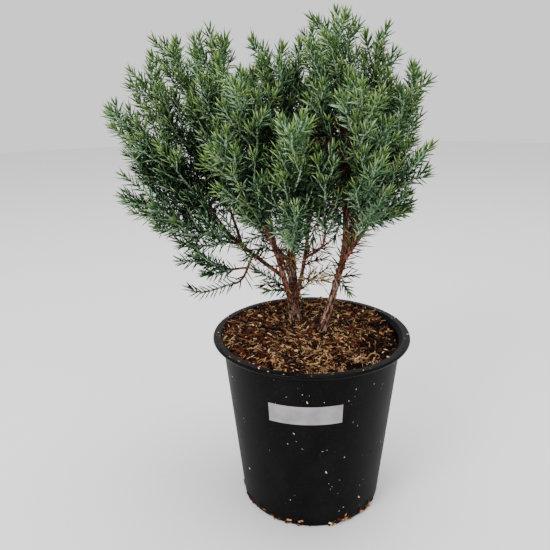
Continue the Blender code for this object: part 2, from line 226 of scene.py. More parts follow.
neck = POT_HEIGHT - LIP_DROP
edge = LIP_DROP / 2
mouth = RIM_RADIUS - LIP_WIDTH
profile = [(0, RING_HEIGHT), (FOOT_RADIUS - FOOT_ROUNDING - RING_WIDTH, RING_HEIGHT)]
profile += arc((FOOT_RADIUS - FOOT_ROUNDING - RING_WIDTH + RING_HEIGHT, RING_HEIGHT),
               RING_HEIGHT, 180, 270, 4)
profile += arc((FOOT_RADIUS - FOOT_ROUNDING, FOOT_ROUNDING), FOOT_ROUNDING, 270, 360)
profile += arc((NECK_RADIUS + POT_WALL, WALL_TOP), POT_WALL, 180, 90, 4)
profile += arc((RIM_RADIUS - edge, neck + edge), edge, -90, 90, 10)
profile += [(RIM_RADIUS - LIP_WIDTH / 2, POT_HEIGHT - LIP_DISH)]
profile += arc((mouth + edge / 2, POT_HEIGHT - edge / 2), edge / 2, 90, 180, 4)
profile += [(pot_inner_radius(neck), neck), (pot_inner_radius(POT_FLOOR), POT_FLOOR),
            (0, POT_FLOOR)]
bare_pot = new_piece("bare pot", mesh_of("bare pot", turned(profile, POT_STEPS)))
bm = bmesh.new()
for number in range(DRAIN_HOLES):
    place = Matrix.Rotation(math.tau * number / DRAIN_HOLES, 4, "Z")
    place @= Matrix.Translation((DRAIN_CIRCLE, 0, 0))
    bmesh.ops.create_cone(bm, cap_ends=True, segments=DRAIN_STEPS, radius1=DRAIN_RADIUS,
                          radius2=DRAIN_RADIUS, depth=4 * POT_FLOOR, matrix=place)
drains = new_piece("drains", mesh_of("drains", bm))
cut = bare_pot.modifiers.new("drains", "BOOLEAN")
cut.operation = "DIFFERENCE"
cut.object = drains
pot_mesh = evaluated(bare_pot)
for item in (bare_pot, drains):
    bpy.data.objects.remove(item, do_unlink=True)
smooth(pot_mesh, 35)


def moulded_plastic(name, roughness, gloss):
    """Black polypropylene under a film of dust: patches some 20 mm wide, grains of 1 mm."""
    plastic, shader = new_material(name, "#040405", 0.4, Specular_IOR_Level=gloss)
    place = add_node(plastic, "ShaderNodeTexCoord").outputs["Object"]
    film = add_node(plastic, "ShaderNodeTexNoise", {"Scale": 1 / 0.02, "Detail": 5.0},
                    {"Vector": place})
    grains = add_node(plastic, "ShaderNodeTexNoise", {"Scale": 1 / 0.0011, "Detail": 2.0},
                      {"Vector": place})
    sparse = add_node(plastic, "ShaderNodeMapRange", {"From Min": 0.62, "From Max": 0.78},
                      {"Value": grains.outputs["Fac"]})
    soft = add_node(plastic, "ShaderNodeMapRange", {"From Min": 0.4, "From Max": 0.75,
                                                   "To Min": 0.0, "To Max": 0.015},
                    {"Value": film.outputs["Fac"]})
    dusty = add_node(plastic, "ShaderNodeMath", {"operation": "MULTIPLY_ADD", 1: 0.07},
                     {0: sparse.outputs["Result"], 2: soft.outputs["Result"]})
    tint = add_node(plastic, "ShaderNodeMix", {"data_type": "RGBA", 6: linear("#040405"),
                                               7: linear("#8A8178")}, {0: dusty.outputs[0]})
    link(plastic, tint.outputs[2], shader, "Base Color")
    rough = add_node(plastic, "ShaderNodeMapRange",
                     {"To Min": roughness[0], "To Max": roughness[1]},
                     {"Value": film.outputs["Fac"]})
    link(plastic, rough.outputs["Result"], shader, "Roughness")
    relief = add_node(plastic, "ShaderNodeBump", {"Strength": 0.25, "Distance": 0.03 * MM},
                      {"Height": grains.outputs["Fac"]})
    link(plastic, relief.outputs["Normal"], shader, "Normal")
    return plastic


# The wall is satin and nearly black. The lip is rubbed smooth by hands and shines along its roll.
wall_plastic = moulded_plastic("black polypropylene, moulded", (0.42, 0.6), 0.05)
lip_plastic = moulded_plastic("black polypropylene, rubbed smooth", (0.24, 0.38), 0.06)
for polygon in pot_mesh.polygons:
    polygon.material_index = int(polygon.center.z > WALL_TOP + POT_WALL / 2
                                 and polygon.center.xy.length > mouth)
pot = new_piece("pot_tub", pot_mesh, wall_plastic, lip_plastic)
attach(pot, "root")
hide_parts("pot")

# The potting mix. Composted bark and coir, heaped nearly to the lip at the back and sunk at the
# right: a dark bed under a litter of curled shavings, splinters, flat chips, fibres and crumbs.
MIX_LEVEL = 137 * MM
MIX_RISE = 4.2 * MM
RIPPLE_HEIGHT = 0.9 * MM
RIPPLE_LENGTHS = (9 * MM, 11 * MM)
RIGHT_HOLLOW = (Vector((58, -10)) * MM, 18 * MM, 6 * MM)
FRONT_HOLLOW = (Vector((38, -48)) * MM, 12 * MM, 6 * MM)
LEFT_HEAP = (Vector((-60, -12)) * MM, 28 * MM, -3.4 * MM)
STEM_FEET = (Vector((-13, 33)) * MM, Vector((9, 11)) * MM)
STEM_SEAT = 17 * MM
BED_DEPTH = 14 * MM
BED_RINGS = 44
LUMP_HEIGHT = 1.1 * MM
LUMPS_PER_METRE = 260
BED_SUNK = 0.9 * MM
BED_GAP = 0.1 * MM
# Each kind of litter: how many, from what length to what length in millimetres, and how far in
# millimetres it may lie proud of the bed.
LITTER = {
    "shavings": (2000, (4.2, 9.5), 1.5),
    "splinters": (1700, (4.0, 10.5), 1.3),
    "chips": (600, (1.8, 4.6), 0.7),
    "fibres": (1000, (5.0, 11.0), 1.6),
    "crumbs": (1600, (0.8, 2.0), 0.4),
}
# Each curled strip: its turn in degrees, its steps, and its width, thickness and taper as shares
# of its length.
STRIPS = {
    "shavings": (100, 4, 0.12, 0.05, 0.0),
    "splinters": (14, 1, 0.1, 0.07, 0.7),
    "fibres": (110, 3, 0.06, 0.05, 0.4),
}
LITTER_COLOURS = ("#A8845A", "#6E4C32", "#4C1E0E", "#1C0E08", "#D6BA90", "#0A0504")
LITTER_SHARES = (0.18, 0.18, 0.24, 0.2, 0.04, 0.16)
PALE_SHARES = (0.28, 0.22, 0.16, 0.14, 0.06, 0.14)
RED_SHARES = (0.1, 0.16, 0.38, 0.2, 0.04, 0.12)
DARK_AND_SHADE_SHARES = (0.07, 0.08, 0.2, 0.32, 0.03, 0.3)
# Without a seed of its own, noise_vector would follow the clock.
LITTER_SEED = 3
# How far a piece tips and rolls, in radians, and how much of the hollows stays bare.
LITTER_TILT = 0.32
LITTER_ROLL = 0.5
FIBRE_ROLL = 1.2
HOLLOW_BARE = 0.65
HOLLOW_REACH = 1.2
# The colours change in patches: dark, redder at the left and paler in front.
# Litter in the two hollows takes the dark shares as well: painted shade.
PATCH_SIZE = 22 * MM
DARK_PATCH = 0.25
RED_SIDE = (-28 * MM, 20 * MM)
PALE_FRONT = (-20 * MM, 25 * MM)


def mix_height(x, y):
    """How high the potting mix stands at x, y."""
    here = Vector((x, y))
    height = MIX_LEVEL + MIX_RISE * y / NECK_RADIUS
    height += RIPPLE_HEIGHT * math.sin(x / RIPPLE_LENGTHS[0]) * math.cos(y / RIPPLE_LENGTHS[1])
    for middle, spread, depth in (RIGHT_HOLLOW, FRONT_HOLLOW, LEFT_HEAP):
        height -= depth * math.exp(-((here - middle).length / spread) ** 2 / 2)
    for foot in STEM_FEET:
        share = min(1, max(0, ((here - foot).length - STEM_SEAT) / STEM_SEAT))
        height = MIX_LEVEL + (height - MIX_LEVEL) * share
    return height


def joined(name, shape, places, picks=None):
    """One mesh of many copies of a small closed shape: copy i is moved by the 3×4 places[i]."""
    bmesh.ops.triangulate(shape, faces=shape.faces)
    put_in_order(shape)
    corners = np.array([vert.co for vert in shape.verts])
    faces = np.array([[vert.index for vert in face.verts] for face in shape.faces])
    sides = np.array([face.material_index for face in shape.faces])
    shape.free()
    places = np.asarray(places, float)
    points = corners @ places[:, :, :3].transpose(0, 2, 1) + places[:, None, :, 3]
    count = len(places)
    offsets = np.arange(count)[:, None, None] * len(corners)
    mesh = bpy.data.meshes.new(name)
    mesh.from_pydata(points.reshape(-1, 3), [], (faces[None] + offsets).reshape(-1, 3))
    dealt = np.zeros(count, int) if picks is None else np.asarray(picks)
    mesh.polygons.foreach_set("material_index", (sides[None] + dealt[:, None]).ravel())
    return mesh


def bent_strip(turn, steps, width, thick, taper):
    """A strip of length 1 along X, curled through an angle, as a closed bmesh."""
    bm = bmesh.new()
    bmesh.ops.create_cube(bm, size=1)
    bmesh.ops.scale(bm, vec=(1, width, thick), verts=bm.verts)
    lengthwise = [edge for edge in bm.edges if abs(edge.verts[0].co.x - edge.verts[1].co.x) > 0.5]
    bmesh.ops.subdivide_edges(bm, edges=lengthwise, cuts=steps - 1, use_grid_fill=True)
    radius = 1 / turn
    for vert in bm.verts:
        vert.co.y *= 1 - taper * (vert.co.x + 0.5)
        angle = vert.co.x * turn
        reach = radius + vert.co.z
        vert.co.x = reach * math.sin(angle)
        vert.co.z = reach * math.cos(angle) - radius
    return bm


def litter_shape(kind):
    """A piece of that kind of litter, of length 1 along X, as a closed bmesh."""
    if kind in STRIPS:
        degrees, *shape = STRIPS[kind]
        return bent_strip(math.radians(degrees), *shape)
    bm = bmesh.new()
    if kind == "chips":
        bmesh.ops.create_cube(bm, size=1)
        bmesh.ops.scale(bm, vec=(1, 0.55, 0.17), verts=bm.verts)
        bmesh.ops.bevel(bm, geom=bm.edges, offset=0.05, segments=1, profile=0.5, affect="EDGES",
                        material=-1)
        rough = 0.06
    else:
        bmesh.ops.create_icosphere(bm, subdivisions=1, radius=0.5)
        rough = 0.12
    noise.seed_set(LITTER_SEED)
    for vert in bm.verts:
        vert.co += rough * noise.noise_vector(vert.co * 7)
    return bm


bm = turned([(0, MIX_LEVEL - BED_DEPTH), (1, MIX_LEVEL - BED_DEPTH)]
            + [(1 - ring / BED_RINGS, MIX_LEVEL) for ring in range(BED_RINGS + 1)], POT_STEPS)
for vert in bm.verts:
    vert.co.xy *= pot_inner_radius(vert.co.z) - BED_GAP
    if vert.co.z > MIX_LEVEL - MM:
        lump = noise.fractal(vert.co * LUMPS_PER_METRE, 0.6, 2.2, 4)
        vert.co.z = mix_height(*vert.co.xy) + LUMP_HEIGHT * lump - BED_SUNK
bmesh.ops.recalc_face_normals(bm, faces=bm.faces)
bed_mesh = mesh_of("mix_bed", bm)
smooth(bed_mesh, 70)

# The bed is fine, damp bark dust: matt, dark, mottled from red-brown to near black over 3 mm.
soil, shader = new_material("composted bark", "#1E0F08", 0.95, Specular_IOR_Level=0.1)
place = add_node(soil, "ShaderNodeTexCoord").outputs["Object"]
mottle = add_node(soil, "ShaderNodeTexNoise", {"Scale": 1 / 0.003, "Detail": 6.0,
                                               "Roughness": 0.7}, {"Vector": place})
browns = add_node(soil, "ShaderNodeValToRGB", {"stops": ((0.3, "#040202"), (0.5, "#120804"),
                                                        (0.75, "#331A0C"))},
                  {"Fac": mottle.outputs["Fac"]})
link(soil, browns.outputs["Color"], shader, "Base Color")
relief = add_node(soil, "ShaderNodeBump", {"Strength": 0.9, "Distance": 0.5 * MM},
                  {"Height": mottle.outputs["Fac"]})
link(soil, relief.outputs["Normal"], shader, "Normal")
bed = new_piece("mix_bed", bed_mesh, soil)
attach(bed, "root")
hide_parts("potting_mix")

# Each colour of litter is dry, torn bark or coir: matt, with one plain base colour a piece.
litter_materials = []
for code in LITTER_COLOURS:
    material, shader = new_material("dry bark " + code[1:], code, 0.85, Specular_IOR_Level=0.15)
    place = add_node(material, "ShaderNodeTexCoord").outputs["Object"]
    fibre = add_node(material, "ShaderNodeTexNoise", {"Scale": 1 / 0.0008, "Detail": 3.0},
                     {"Vector": place})
    relief = add_node(material, "ShaderNodeBump", {"Strength": 0.5, "Distance": 0.15 * MM},
                      {"Height": fibre.outputs["Fac"]})
    link(material, relief.outputs["Normal"], shader, "Normal")
    litter_materials.append(material)

draw = random.Random(11)
for kind, (count, lengths, lift) in LITTER.items():
    places, picks = [], []
    while len(places) < count:
        angle = draw.uniform(0, math.tau)
        size = draw.uniform(*lengths) * MM
        reach = math.sqrt(draw.random()) * mouth
        x, y = reach * math.cos(angle), reach * math.sin(angle)
        over_wall = mix_height(x, y) > neck - 0.5 * MM
        if reach > pot_inner_radius(MIX_LEVEL) - 0.3 * size and not over_wall:
            continue
        dark = any((Vector((x, y)) - middle).length < HOLLOW_REACH * spread
                   for middle, spread, depth in (RIGHT_HOLLOW, FRONT_HOLLOW))
        if dark and draw.random() < HOLLOW_BARE:
            continue
        height = mix_height(x, y) + draw.uniform(-0.3, 1.0) * lift * MM
        tip = Quaternion((0, 0, 1), draw.uniform(0, math.tau))
        tip @= Quaternion((0, 1, 0), draw.gauss(0, LITTER_TILT))
        roll = FIBRE_ROLL if kind == "fibres" else LITTER_ROLL
        tip @= Quaternion((1, 0, 0), draw.gauss(0, roll))
        grow = Vector((size, size * draw.uniform(0.7, 1.4), size * draw.uniform(0.7, 1.3)))
        places.append(Matrix.LocRotScale(Vector((x, y, height)), tip, grow)[:3])
        patch = noise.noise(Vector((x, y, 0)) / PATCH_SIZE)
        # Litter lying in a hollow is dealt the dark shares: painted shade in the sunk parts of the
        # bed.
        if dark or patch > DARK_PATCH:
            shares = DARK_AND_SHADE_SHARES
        elif x < RED_SIDE[0] + RED_SIDE[1] * patch:
            shares = RED_SHARES
        else:
            pale = y < PALE_FRONT[0] + PALE_FRONT[1] * patch
            shares = PALE_SHARES if pale else LITTER_SHARES
        picks.append(draw.choices(range(len(LITTER_COLOURS)), shares)[0])
    mesh = joined("mix_" + kind, litter_shape(kind), places, picks)
    piece = new_piece("mix_" + kind, mesh, *litter_materials)
    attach(piece, "root")

# What clings to the pot. Grains of pale dust and torn bark stick to the damp wall and lip, and
# a few chips have gathered round the foot.
GRAINS = 150
GRAIN_SIZES = (0.2, 0.34)
GRAIN_COLOURS = ("#E4E2DE", "#A98A66", "#7E5436")
GRAIN_SHARES = (0.88, 0.08, 0.04)
GRAIN_PATCH = 16 * MM
GRAIN_PATCHINESS = (-0.1, 0.35)
BIG_GRAIN = 1.5
BIG_GRAIN_SHARE = 0.15
# The torn bits: how many, their sizes in millimetres, and the shares of the litter's colours.
WALL_BITS = (34, (0.8, 2.4), (0.2, 0.2, 0.2, 0.2, 0.2, 0))
LIP_BITS = (70, (0.6, 2.2), (0.3, 0.2, 0.2, 0.1, 0.2, 0))
FOOT_BITS = (130, (1.0, 4.0), (0.2, 0.32, 0.3, 0.12, 0.06, 0))
BIT_THICKNESS = 0.8
# Where the chips have gathered round the foot: the middle and the spread of each drift.
FOOT_BIT_ANGLES = ((-0.35, 0.5), (0.45, 0.28), (0.9, 0.2), (-1.0, 0.25), (-1.7, 0.3), (2.4, 0.5))


def on_wall(height, angle, proud):
    """A point on the pot's outer wall, and the way that the wall faces there."""
    slope = (NECK_RADIUS - FOOT_RADIUS) / (WALL_TOP - FOOT_ROUNDING)
    radius = FOOT_RADIUS + slope * (height - FOOT_ROUNDING) + proud
    out = Vector((math.sin(angle), -math.cos(angle), 0))
    return out * radius + Vector((0, 0, height)), out


def laid_on(out, spin):
    """The turn of a bit that lies on the wall, spun by an angle."""
    return out.to_track_quat("Z", "Y") @ Quaternion((0, 0, 1), spin)


def add_bit(point, turn, size, shares):
    grow = Vector((size, size * BIT_THICKNESS, size * BIT_THICKNESS))
    bit_places.append(Matrix.LocRotScale(point, turn, grow)[:3])
    bit_picks.append(draw.choices(range(6), shares)[0])


draw = random.Random(23)
grain_places, grain_picks, bit_places, bit_picks = [], [], [], []
while len(grain_places) < GRAINS:
    height = POT_HEIGHT * draw.uniform(0.05, 0.96) ** 0.8
    point, out = on_wall(height, draw.uniform(-math.pi, math.pi), 0.02 * MM)
    if noise.noise(point / GRAIN_PATCH) < draw.uniform(*GRAIN_PATCHINESS):
        continue
    size = draw.uniform(*GRAIN_SIZES) * MM
    size *= BIG_GRAIN if draw.random() < BIG_GRAIN_SHARE else 1
    turn = laid_on(out, draw.uniform(0, math.tau))
    grow = Vector((size * draw.uniform(1, 5.5), size, size * 0.5))
    grain_places.append(Matrix.LocRotScale(point, turn, grow)[:3])
    grain_picks.append(draw.choices((0, 1, 2), GRAIN_SHARES)[0])
count, sizes, shares = WALL_BITS
for number in range(count):
    point, out = on_wall(draw.uniform(8, 132) * MM, draw.uniform(-math.pi, math.pi), 0.1 * MM)
    size = draw.uniform(*sizes) * MM
    add_bit(point, laid_on(out, draw.uniform(0, math.tau)), size, shares)
count, sizes, shares = LIP_BITS
for number in range(count):
    angle = draw.uniform(-math.pi, math.pi)
    reach = draw.uniform(mouth + 0.5 * MM, RIM_RADIUS - 1.2 * MM)
    size = draw.uniform(*sizes) * MM
    point = Vector((reach * math.sin(angle), -reach * math.cos(angle), POT_HEIGHT))
    add_bit(point, Quaternion((0, 0, 1), draw.uniform(0, math.tau)), size, shares)
count, sizes, shares = FOOT_BITS
for middle, spread in FOOT_BIT_ANGLES:
    for number in range(count // len(FOOT_BIT_ANGLES)):
        angle = draw.gauss(middle, spread / 2)
        size = draw.uniform(*sizes) * MM
        height = abs(draw.gauss(0, 2.2)) * MM + 0.55 * size
        point, out = on_wall(height, angle, 0.4 * MM)
        turn = laid_on(out, draw.uniform(-0.7, 0.7)) @ Quaternion((0, 1, 0), draw.gauss(0, 0.4))
        add_bit(point, turn, size, shares)

# Dust grains are pale mineral and bark dust, dry and quite matt.
dust_materials = [new_material("dust " + code[1:], code, 0.9)[0]
                  for code in GRAIN_COLOURS]
bm = bmesh.new()
bmesh.ops.create_icosphere(bm, subdivisions=1, radius=0.5)
grains = new_piece("pot_dust_grains", joined("pot_dust_grains", bm, grain_places, grain_picks),
                   *dust_materials)
bits = new_piece("pot_clinging_bits", joined("pot_clinging_bits", litter_shape("chips"),
                                             bit_places, bit_picks), *litter_materials)
for piece in (grains, bits):
    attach(piece, "root")

# The label. A blank strip of thin white paper, cut straight and pasted round the front of the
# pot. Its lower corners lift a little from the wall.
LABEL_WIDTH = 57 * MM
LABEL_HEIGHT = 15.2 * MM
LABEL_THICKNESS = 0.12 * MM
LABEL_MIDDLE = 105.5 * MM
LABEL_TURN = math.radians(-3.4)
LABEL_SLOPE = math.radians(1.2)
LABEL_LIFT = 0.5 * MM
LABEL_WAVES = (15 * MM, 9 * MM)
LABEL_GAP = 0.1 * MM

bm = bmesh.new()
bmesh.ops.create_grid(bm, x_segments=72, y_segments=20, size=0.5)
for vert in bm.verts:
    along, up = vert.co.x * LABEL_WIDTH, vert.co.y * LABEL_HEIGHT
    wave = 0.5 + 0.5 * noise.noise(Vector((along / LABEL_WAVES[0], up / LABEL_WAVES[1], 8)))
    lift = LABEL_LIFT * wave * max(0, -vert.co.y * 2) ** 2 * abs(vert.co.x * 2) ** 2
    height = LABEL_MIDDLE + up + along * math.tan(LABEL_SLOPE)
    point, out = on_wall(height, LABEL_TURN + along / NECK_RADIUS, LABEL_GAP + lift)
    vert.co = point
bmesh.ops.solidify(bm, geom=bm.faces, thickness=-LABEL_THICKNESS)
bmesh.ops.recalc_face_normals(bm, faces=bm.faces)
label_mesh = mesh_of("label_strip", bm)
smooth(label_mesh, 50)

# Uncoated printer paper: white going grey with handling, matt, with a faint fibre of 1 mm.
paper, shader = new_material("uncoated paper", "#959192", 0.82)
place = add_node(paper, "ShaderNodeTexCoord").outputs["Object"]
smudge = add_node(paper, "ShaderNodeTexNoise", {"Scale": 1 / 0.012, "Detail": 4.0},
                  {"Vector": place})
greys = add_node(paper, "ShaderNodeValToRGB", {"stops": ((0.3, "#7F797B"), (0.62, "#999597"))},
                 {"Fac": smudge.outputs["Fac"]})
link(paper, greys.outputs["Color"], shader, "Base Color")
fibre = add_node(paper, "ShaderNodeTexNoise", {"Scale": 1 / 0.001, "Detail": 3.0},
                 {"Vector": place})
relief = add_node(paper, "ShaderNodeBump", {"Strength": 0.25, "Distance": 0.05 * MM},
                  {"Height": fibre.outputs["Fac"]})
link(paper, relief.outputs["Normal"], shader, "Normal")
label = new_piece("label_strip", label_mesh, paper)
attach(label, "root")
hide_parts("label")

# Stems and boughs. Two woody stems stand in the mix and fork into tapering boughs. The bark is
# grey-brown, fissured and flaking at the foot, and red-brown, thin and smoother higher up.
# Each stem, in millimetres: its foot, the places it passes, its thickness, and the plume that
# it ends in with its reach and half width.
STEMS = {
    "stem_left": {
        "path": ((-13, 33), (-15, 31, 152), (-15, 29, 176), (-16, 28, 205), (-13, 25, 242)),
        "radii": (4.9, 2.2),
        "foliage": ("foliage_middle", (-17, 34, 356), 23),
    },
    "stem_right": {
        "path": ((9, 11), (13, 10, 152), (20, 8, 180), (26, 5, 214), (24, 3, 268)),
        "radii": (3.4, 1.9),
        "foliage": ("foliage_right_tall", (15, -6, 376), 28),
    },
}
# Each bough, in millimetres: the limb that it leaves, how far up that limb, its tip, its root's
# radius, and the reach and half width of the foliage that grows on from it.
BOUGHS = {
    "mid_left": ("stem_left", 0.09, (-35, -8, 230), 2.6, (-63, -46, 298), 21),
    "left": ("mid_left", 0.42, (-76, 6, 232), 1.9, (-126, -6, 289), 24),
    "low_left": ("left", 0.60, (-71, -4, 219), 1.3, (-130, -28, 256), 22),
    "sprig": ("left", 0.42, (-61, 4, 180), 1.3, (-101, -10, 180), 12),
    "hanging": ("sprig", 0.40, (-67, 0, 194), 0.95, (-98, -14, 211), 15),
    "far_left": ("left", 0.74, (-84, -4, 252), 1.3, (-143, -16, 318), 19),
    "left_top": ("left", 0.58, (-66, 14, 256), 1.4, (-68, 3, 366), 26),
    "left_outer": ("left_top", 0.62, (-82, 18, 268), 1.1, (-128, 12, 342), 22),
    "centre_left": ("mid_left", 0.64, (-36, -4, 258), 1.6, (-52, -30, 338), 22),
    "centre": ("stem_left", 0.08, (-2, 12, 234), 2.1, (-1, 6, 338), 21),
    "centre_top": ("stem_left", 0.84, (-26, 10, 272), 1.7, (-31, 0, 358), 22),
    "front": ("stem_left", 0.54, (-14, -21, 219), 1.7, (-11, -49, 310), 21),
    "front_right": ("centre", 0.58, (10, -18, 227), 1.3, (6, -42, 290), 18),
    "right_low": ("stem_right", 0.46, (43, 3, 227), 1.7, (81, -6, 286), 20),
    "right_front": ("stem_right", 0.40, (33, -18, 230), 1.6, (41, -38, 287), 19),
    "right_mid": ("stem_right", 0.68, (28, -16, 262), 1.5, (34, -38, 330), 20),
    "right_top": ("stem_right", 0.78, (40, 20, 280), 1.7, (48, 14, 367), 22),
    "far_right": ("stem_right", 0.52, (54, 21, 262), 1.8, (77, 24, 341), 21),
    "low_right": ("stem_right", 0.43, (46, 20, 224), 1.4, (80, 30, 243), 14),
    "back_low_left": ("stem_left", 0.34, (-34, 54, 206), 1.7, (-68, 88, 262), 23),
    "back_left": ("stem_left", 0.48, (-54, 42, 236), 1.9, (-113, 50, 362), 26),
    "back_middle": ("stem_left", 0.64, (-8, 54, 230), 1.8, (-6, 92, 304), 25),
    "back_high": ("stem_left", 0.93, (-40, 44, 272), 1.6, (-46, 54, 346), 22),
    "back_top": ("centre", 0.80, (6, 36, 276), 1.3, (2, 46, 366), 23),
    "back_low_right": ("stem_right", 0.34, (32, 46, 208), 1.7, (58, 84, 268), 22),
    "back_right": ("stem_right", 0.62, (46, 46, 248), 1.8, (70, 60, 330), 23),
}
STEM_STRAIGHT = 0.6
STEM_SUNK = 4 * MM
FLARE = 1.25
FLARE_HEIGHT = 9 * MM
BOUGH_POINTS = 16
BOUGH_TIP_SHARE = 0.62
THINNEST_TIP = 0.9 * MM
CURVE_REACH = 0.36
ROOT_SPREAD = 0.1
BARK_VOXEL = 0.55 * MM
FISSURE_WIDTH = 1.5 * MM
FISSURE_LENGTH = 8 * MM
FISSURE_DEPTH = 0.15
OLD_RADIUS = (1.5 * MM, 4.2 * MM)
AGE_PATCH = 9 * MM
AGE_SPREAD = 0.25
SWELL = 0.1
SWELL_LENGTH = 7 * MM
SUNK_SWELL = 1.15


def curve_through(start, start_way, end, end_way, points):
    """Points of a smooth curve that leaves start along one way and arrives along the other."""
    reach = (end - start).length * CURVE_REACH
    return interpolate_bezier(start, start + start_way * reach, end - end_way * reach, end, points)


def rounded_path(knots, steps):
    """A smooth curve through every knot, with that many steps between two of them."""
    ways = [(knots[min(i + 1, len(knots) - 1)] - knots[max(i - 1, 0)]) / 2
            for i in range(len(knots))]
    path = [knots[0]]
    for i in range(len(knots) - 1):
        path += interpolate_bezier(knots[i], knots[i] + ways[i] / 3, knots[i + 1] - ways[i + 1] / 3,
                                   knots[i + 1], steps + 1)[1:]
    return path


def length_of(path):
    return sum((two - one).length for one, two in zip(path, path[1:]))


def point_along(path, share):
    """The point that lies a share of the way along a path, and the way the path runs there."""
    lengths = [(two - one).length for one, two in zip(path, path[1:])]
    left = share * sum(lengths)
    for number, length in enumerate(lengths):
        if left <= length or number == len(lengths) - 1:
            way = (path[number + 1] - path[number]).normalized()
            return path[number] + way * left, way
        left -= length


limbs = {}
for name, stem in STEMS.items():
    foot = Vector((*stem["path"][0], 0)) * MM
    foot.z = MIX_LEVEL
    knots = [Vector(knot) * MM for knot in stem["path"][1:]]
    plume, reach, half_width = stem["foliage"]
    path = rounded_path([foot, foot + (knots[0] - foot) * STEM_STRAIGHT] + knots, 5)
    thick, thin = (radius * MM for radius in stem["radii"])
    rise = path[-1].z - foot.z
    radii = []
    for point in path:
        flare = 1 + (FLARE - 1) * math.exp(-(point.z - foot.z) / (FLARE_HEIGHT / 2))
        radii.append((thick + (thin - thick) * (point.z - foot.z) / rise) * flare)
    limbs[name] = {"path": path, "radii": radii, "reach": Vector(reach) * MM, "plume": plume,
                   "half_width": half_width * MM, "stem": name}
for name, (parent, share, tip, root, reach, half_width) in BOUGHS.items():
    carrier = limbs[parent if parent in limbs else "bough_" + parent]
    tip, reach = Vector(tip) * MM, Vector(reach) * MM
    start, along = point_along(carrier["path"], share)
    start_way = ((tip - start).normalized() - ROOT_SPREAD * along).normalized()
    path = curve_through(start, start_way, tip, (reach - tip).normalized(), BOUGH_POINTS)
    thin = max(root * BOUGH_TIP_SHARE * MM, THINNEST_TIP)
    radii = [root * MM + (thin - root * MM) * i / (BOUGH_POINTS - 1) for i in range(BOUGH_POINTS)]
    limbs["bough_" + name] = {"path": path, "radii": radii, "reach": reach,
                              "plume": "foliage_" + name, "half_width": half_width * MM,
                              "stem": carrier["stem"]}


def tubes(name, runs, resolution):
    """One mesh of round tubes: each run is a path and its radii."""
    line = bpy.data.curves.new(name, "CURVE")
    line.dimensions = "3D"
    line.bevel_depth = MM
    line.bevel_resolution = resolution
    line.use_fill_caps = True
    for path, radii in runs:
        spline = line.splines.new("POLY")
        spline.points.add(len(path) - 1)
        for knot, point, radius in zip(spline.points, path, radii):
            knot.co = (*point, 1)
            knot.radius = radius / MM
    item = bpy.data.objects.new(name, line)
    bpy.context.scene.collection.objects.link(item)
    mesh = evaluated(item)
    bpy.data.objects.remove(item, do_unlink=True)
    return mesh


# Bark. Old bark is grey-brown and flaky over dark fissures some 1.5 mm wide and 8 mm long, and
# young bark is red-brown with a slight gloss. The grain attribute runs along each limb.
bark, shader = new_material("arborvitae bark", "#4A2418", 0.75, Specular_IOR_Level=0.25)
grain = add_node(bark, "ShaderNodeAttribute", {"attribute_name": "grain"}).outputs["Vector"]
age = add_node(bark, "ShaderNodeAttribute", {"attribute_name": "age"}).outputs["Fac"]
strips = add_node(bark, "ShaderNodeTexNoise", {"Scale": 1.0, "Detail": 4.0, "Roughness": 0.65},
                  {"Vector": grain})
old = add_node(bark, "ShaderNodeValToRGB", {"stops": ((0.4, "#140A07"), (0.47, "#4C3126"),
                                                     (0.55, "#A3826C"), (0.63, "#BCA28F"))},
               {"Fac": strips.outputs["Fac"]})
young = add_node(bark, "ShaderNodeValToRGB", {"stops": ((0.38, "#120705"), (0.49, "#4A1F14"),
                                                       (0.61, "#95563F"))},
                 {"Fac": strips.outputs["Fac"]})
tone = add_node(bark, "ShaderNodeMix", {"data_type": "RGBA"},
                {0: age, 6: young.outputs["Color"], 7: old.outputs["Color"]})
link(bark, tone.outputs[2], shader, "Base Color")
gloss = add_node(bark, "ShaderNodeMapRange", {"To Min": 0.5, "To Max": 0.88}, {"Value": age})
link(bark, gloss.outputs["Result"], shader, "Roughness")
relief = add_node(bark, "ShaderNodeBump", {"Strength": 0.6, "Distance": 0.25 * MM},
                  {"Height": strips.outputs["Fac"]})
link(bark, relief.outputs["Normal"], shader, "Normal")

line_points = kdtree.KDTree(sum(len(limb["path"]) for limb in limbs.values()))
line_facts = []
for limb in limbs.values():
    path, radii = limb["path"], limb["radii"]
    for i, point in enumerate(path):
        way = (path[min(i + 1, len(path) - 1)] - path[max(i - 1, 0)]).normalized()
        line_points.insert(point, len(line_facts))
        line_facts.append((way, radii[i]))
line_points.balance()


def grain_at(point, way):
    """The place in the bark's pattern, in fissures across the limb and along it."""
    along = way * point.dot(way)
    return (point - along) / FISSURE_WIDTH + along / FISSURE_LENGTH


